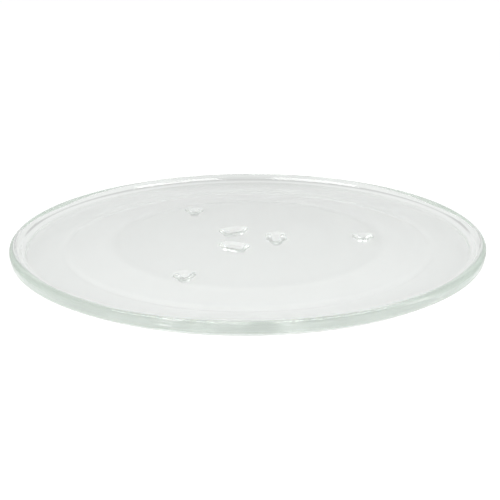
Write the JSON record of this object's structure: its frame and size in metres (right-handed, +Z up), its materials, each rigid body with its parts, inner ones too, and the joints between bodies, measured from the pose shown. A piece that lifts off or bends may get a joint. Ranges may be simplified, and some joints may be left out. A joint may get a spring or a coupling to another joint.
{
  "type": "microwave turntable plate",
  "caption": "Round pressed-glass turntable plate for a microwave oven: flat well, shallow brim, thick rim, and a roller track, drive lugs and feet underneath.",
  "frame": {"origin": "on the plate's axis, in the plane that the feet stand on", "axes": "+Z up along the plate's axis, +X through one foot and one drive lug"},
  "size_m": [0.345, 0.345, 0.0184],
  "materials": {
    "pressed_glass": "clear with a faint green tint, polished, with a fine grain on the underside inside and outside the roller track"
  },
  "bodies": {
    "root": {"turntable_plate": "pressed_glass"}
  },
  "joints": []
}
